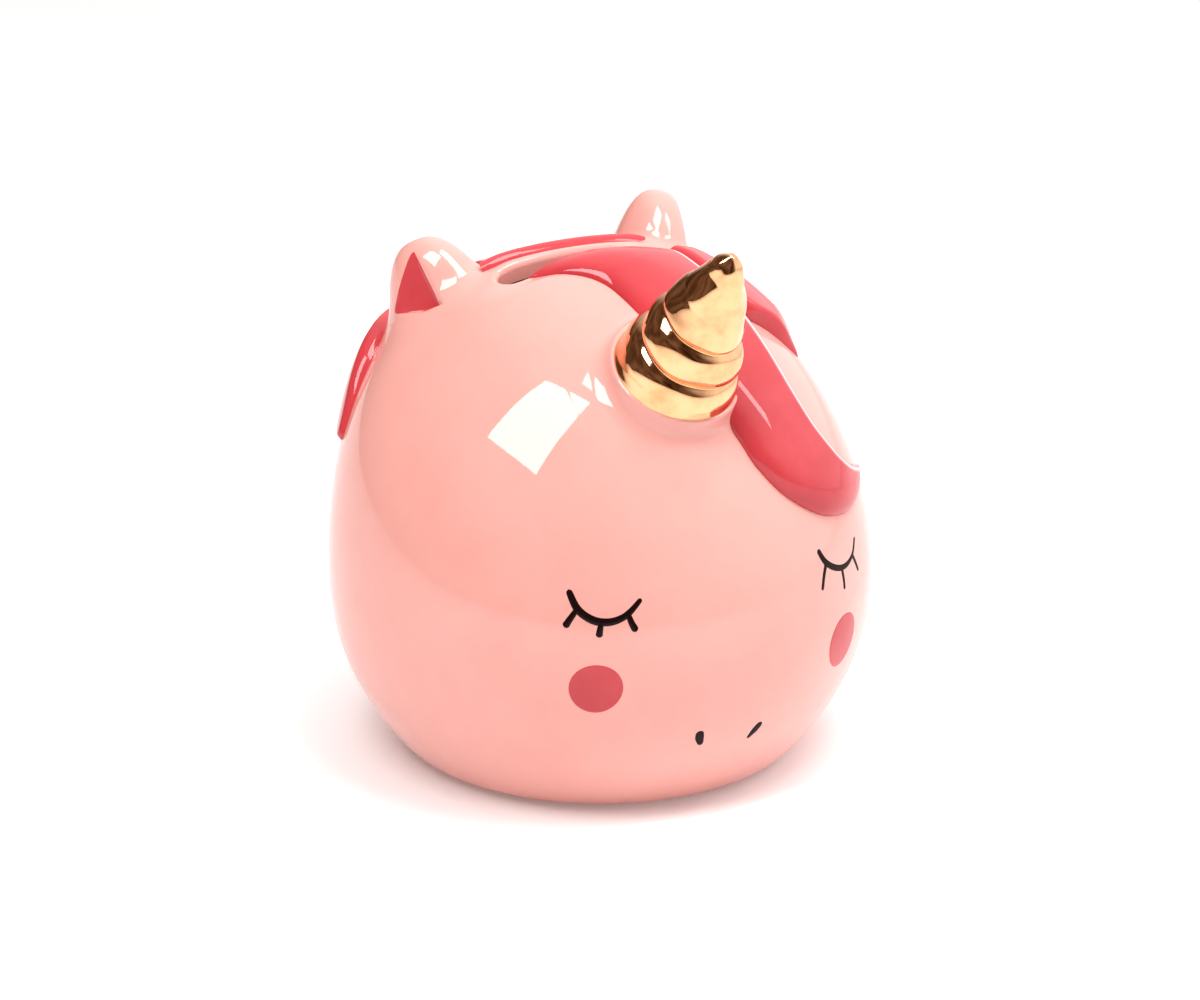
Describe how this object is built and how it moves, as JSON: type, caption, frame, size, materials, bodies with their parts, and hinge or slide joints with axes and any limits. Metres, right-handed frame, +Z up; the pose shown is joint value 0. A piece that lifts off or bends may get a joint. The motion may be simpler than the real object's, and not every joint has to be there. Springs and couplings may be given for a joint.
{
  "type": "animal coin bank",
  "caption": "Round ceramic unicorn-head coin bank with a twisted gold horn, ears, locks of hair in relief, a coin slot in the crown and a rubber stopper in the base.",
  "frame": {"origin": "centre of the foot, on the surface that the bank stands on", "axes": "+Z up, -Y out of the animal's face, +X to the animal's left"},
  "size_m": [0.136, 0.1366, 0.1384],
  "materials": {
    "skin_glaze": "clear glossy glaze over pale coral-pink underglaze",
    "hair_glaze": "clear glossy glaze over deep rose underglaze",
    "gold_lustre": "mirror gold lustre fired over the glaze",
    "ink_enamel": "brown-black painted lines under the glaze",
    "soft_rubber": "matt soft rubber"
  },
  "bodies": {
    "bank": {"body_shell": "skin_glaze", "ear_right": "skin_glaze", "ear_left": "skin_glaze", "horn": "gold_lustre", "forelock": "hair_glaze", "side_lock": "hair_glaze", "mane_middle": "hair_glaze", "mane_inner_right": "hair_glaze", "mane_outer_right": "hair_glaze", "mane_inner_left": "hair_glaze", "mane_outer_left": "hair_glaze"},
    "stopper": {"stopper": "soft_rubber"}
  },
  "joints": [
    {"name": "stopper_pull", "type": "slide", "parent": "bank", "child": "stopper", "axis": [0, 0, -1], "range_m": [0, 0.03]}
  ]
}
